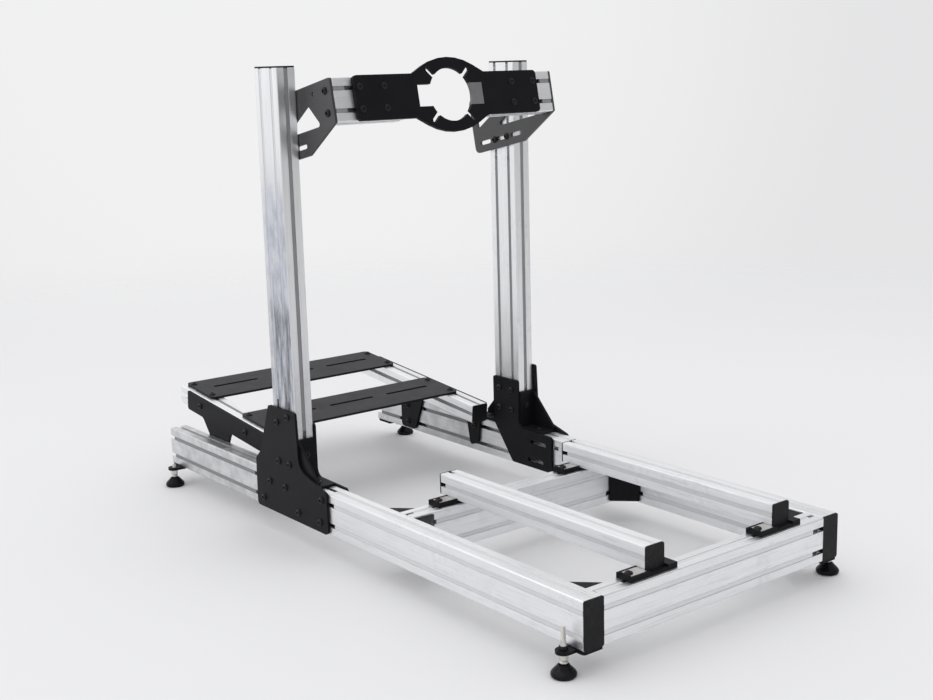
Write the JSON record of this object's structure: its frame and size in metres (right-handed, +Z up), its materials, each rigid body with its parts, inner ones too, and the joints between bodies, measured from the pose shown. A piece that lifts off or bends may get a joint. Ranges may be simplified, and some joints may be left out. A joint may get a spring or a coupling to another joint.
{
  "type": "sim racing cockpit frame",
  "caption": "Open aluminium profile frame for sim racing, with a plate for a wheel base, a slotted pedal deck, rails for a seat and levelling feet.",
  "frame": {"origin": "on the floor, under the middle of the overall length and width", "axes": "+X to the driver's right, +Y forward from the seat to the pedals, +Z up"},
  "size_m": [0.6714, 1.378, 0.9151],
  "materials": {
    "mill_aluminium": "clear anodised extrusion, satin with fine lengthwise lines",
    "black_steel": "black powder coat with a fine texture",
    "black_plastic": "moulded black nylon",
    "zinc_studs": "zinc plated",
    "grey_strips": "extruded grey plastic strip"
  },
  "bodies": {
    "root": {"left_side_rail": "mill_aluminium", "right_side_rail": "mill_aluminium", "rear_crossmember": "mill_aluminium", "middle_crossmember": "mill_aluminium", "left_seat_rail": "mill_aluminium", "right_seat_rail": "mill_aluminium", "left_upright": "mill_aluminium", "right_upright": "mill_aluminium", "left_wheel_beam": "mill_aluminium", "right_wheel_beam": "mill_aluminium", "left_pedal_rail": "mill_aluminium", "right_pedal_rail": "mill_aluminium", "left_outer_plate": "black_steel", "right_outer_plate": "black_steel", "left_inner_plate": "black_steel", "right_inner_plate": "black_steel", "left_upright_bracket": "black_steel", "right_upright_bracket": "black_steel", "left_front_bracket": "black_steel", "right_front_bracket": "black_steel", "left_pedal_arm": "black_steel", "right_pedal_arm": "black_steel", "front_pedal_plate": "black_steel", "rear_pedal_plate": "black_steel", "left_wheel_bracket": "black_steel", "right_wheel_bracket": "black_steel", "wheel_mount_plate": "black_steel", "notch_filler": "grey_strips", "rear_left_gusset": "black_steel", "rear_right_gusset": "black_steel", "middle_left_gussets": "black_steel", "middle_right_gussets": "black_steel", "rear_left_seat_bracket": "black_steel", "rear_right_seat_bracket": "black_steel", "front_left_seat_bracket": "black_steel", "front_right_seat_bracket": "black_steel", "foot_plates": "black_steel", "foot_studs": "zinc_studs", "rear_left_foot_pad": "black_plastic", "rear_right_foot_pad": "black_plastic", "front_left_foot_pad": "black_plastic", "front_right_foot_pad": "black_plastic", "end_caps": "black_plastic", "slot_covers": "grey_strips"}
  },
  "joints": []
}
